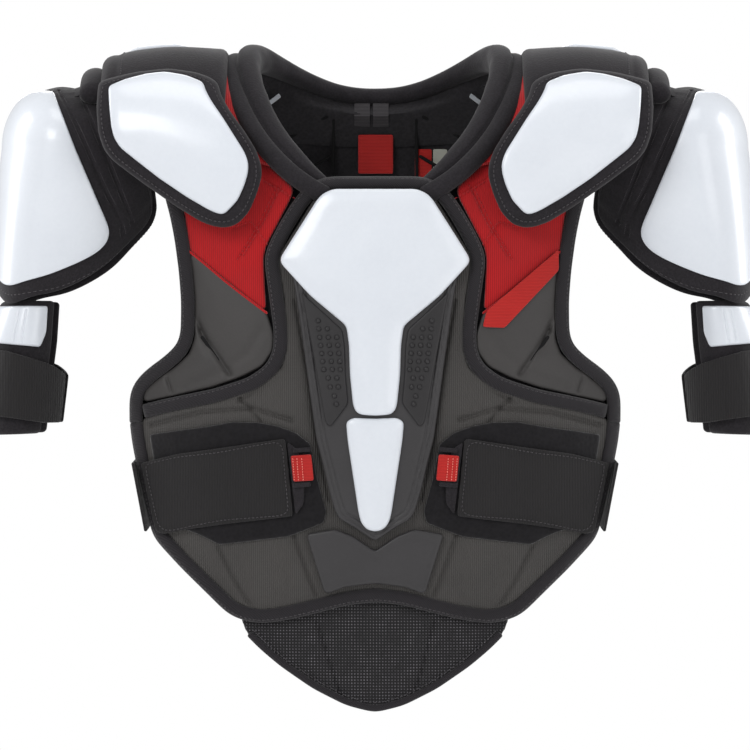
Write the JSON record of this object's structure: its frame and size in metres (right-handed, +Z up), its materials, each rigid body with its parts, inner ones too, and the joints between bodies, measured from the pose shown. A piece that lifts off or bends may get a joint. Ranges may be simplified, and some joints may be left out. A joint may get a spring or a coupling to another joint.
{
  "type": "hockey shoulder pads",
  "caption": "Ice hockey shoulder pads: padded chest and back, shell plates over sternum, clavicles, shoulders and biceps, a mesh belly flap and hook-and-loop waist straps.",
  "frame": {"origin": "centre of the neck opening on the shoulder line, where the pads hang on the wearer", "axes": "+X to the wearer's left, -Y the way the wearer faces, +Z up"},
  "size_m": [0.6162, 0.2677, 0.5015],
  "materials": {
    "black_fabric": "matte tricot",
    "grey_foam": "matt moulded foam",
    "ribbed_foam": "matt ribbed moulded foam",
    "white_shell": "satin moulded polyethylene",
    "red_fabric": "ribbed stretch fabric",
    "red_tab": "woven tape",
    "black_rubber": "matt studded",
    "loop_fabric": "fuzzy loop pile",
    "elastic": "woven elastic",
    "mesh_fabric": "perforated mesh"
  },
  "bodies": {
    "torso": {"armhole_binding_left": "black_fabric", "armhole_binding_right": "black_fabric", "back_binding": "black_fabric", "back_panel": "grey_foam", "badge_plate": "black_rubber", "bib_binding": "black_fabric", "bib_pad": "ribbed_foam", "chest_liner": "black_fabric", "collar_roll": "black_fabric", "hem_binding": "black_fabric", "loop_patch_left": "loop_fabric", "loop_patch_right": "loop_fabric", "pectoral_fabric_left": "red_fabric", "pectoral_fabric_right": "red_fabric", "pectoral_pad_left": "grey_foam", "pectoral_pad_right": "grey_foam", "scapula_pad_left": "black_fabric", "scapula_pad_right": "black_fabric", "shoulder_yoke_left": "black_fabric", "shoulder_yoke_right": "black_fabric", "size_label": "red_tab", "spine_plate_lower": "white_shell", "spine_plate_upper": "white_shell", "sternum_frame": "black_rubber", "sternum_grip_insert_left": "black_rubber", "sternum_grip_insert_right": "black_rubber", "sternum_lower_shell": "white_shell", "sternum_upper_shell": "white_shell", "waist_strap_side_left": "elastic", "waist_strap_side_right": "elastic"},
    "cap_left": {"cap_pad_left": "black_fabric", "cap_shell_left": "white_shell"},
    "bicep_guard_left": {"bicep_pad_left": "black_fabric", "bicep_shell_left": "white_shell", "bicep_strap_left": "elastic"},
    "clavicle_plate_left": {"clavicle_pad_left": "black_fabric", "clavicle_shell_left": "white_shell"},
    "waist_strap_left": {"waist_strap_front_left": "elastic", "strap_hook_tab_left": "black_fabric", "strap_pull_tab_left": "red_tab"},
    "cap_right": {"cap_pad_right": "black_fabric", "cap_shell_right": "white_shell"},
    "bicep_guard_right": {"bicep_pad_right": "black_fabric", "bicep_shell_right": "white_shell", "bicep_strap_right": "elastic"},
    "clavicle_plate_right": {"clavicle_pad_right": "black_fabric", "clavicle_shell_right": "white_shell"},
    "waist_strap_right": {"waist_strap_front_right": "elastic", "strap_hook_tab_right": "black_fabric", "strap_pull_tab_right": "red_tab"},
    "belly": {"belly_flap": "mesh_fabric"},
    "hanger": {"hanger_loop": "elastic", "hanger_tag": "red_tab"}
  },
  "joints": [
    {"name": "cap_raise_left", "type": "hinge", "parent": "torso", "child": "cap_left", "pos_m": [0.205, 0, -0.005], "axis": [0, -1, 0], "range_deg": [0, 60]},
    {"name": "bicep_swing_left", "type": "hinge", "parent": "cap_left", "child": "bicep_guard_left", "pos_m": [0.286, 0, -0.164], "axis": [0, -1, 0], "range_deg": [0, 28], "stiffness_Nm_per_rad": 0.25, "springref_deg": -28.65},
    {"name": "clavicle_lift_left", "type": "hinge", "parent": "torso", "child": "clavicle_plate_left", "pos_m": [0.16, -0.086, 0.006], "axis": [-1, 0, 0], "range_deg": [0, 30]},
    {"name": "strap_peel_left", "type": "hinge", "parent": "torso", "child": "waist_strap_left", "pos_m": [0.1765, -0.0885, -0.31], "axis": [0, 0, 1], "range_deg": [0, 90]},
    {"name": "cap_raise_right", "type": "hinge", "parent": "torso", "child": "cap_right", "pos_m": [-0.205, 0, -0.005], "axis": [0, 1, 0], "range_deg": [0, 60]},
    {"name": "bicep_swing_right", "type": "hinge", "parent": "cap_right", "child": "bicep_guard_right", "pos_m": [-0.286, 0, -0.164], "axis": [0, 1, 0], "range_deg": [0, 28], "stiffness_Nm_per_rad": 0.25, "springref_deg": -28.65},
    {"name": "clavicle_lift_right", "type": "hinge", "parent": "torso", "child": "clavicle_plate_right", "pos_m": [-0.16, -0.086, 0.006], "axis": [-1, 0, 0], "range_deg": [0, 30]},
    {"name": "strap_peel_right", "type": "hinge", "parent": "torso", "child": "waist_strap_right", "pos_m": [-0.1765, -0.0885, -0.31], "axis": [0, 0, -1], "range_deg": [0, 90]},
    {"name": "belly_flex", "type": "hinge", "parent": "torso", "child": "belly", "pos_m": [0, -0.1055, -0.404], "axis": [-1, 0, 0], "range_deg": [0, 30], "stiffness_Nm_per_rad": 0.05, "springref_deg": -28.65},
    {"name": "hanger_swing", "type": "hinge", "parent": "torso", "child": "hanger", "pos_m": [0, 0.0703, -0.0268], "axis": [-1, 0, 0], "range_deg": [0, 90], "stiffness_Nm_per_rad": 0.002, "springref_deg": -45.84}
  ]
}
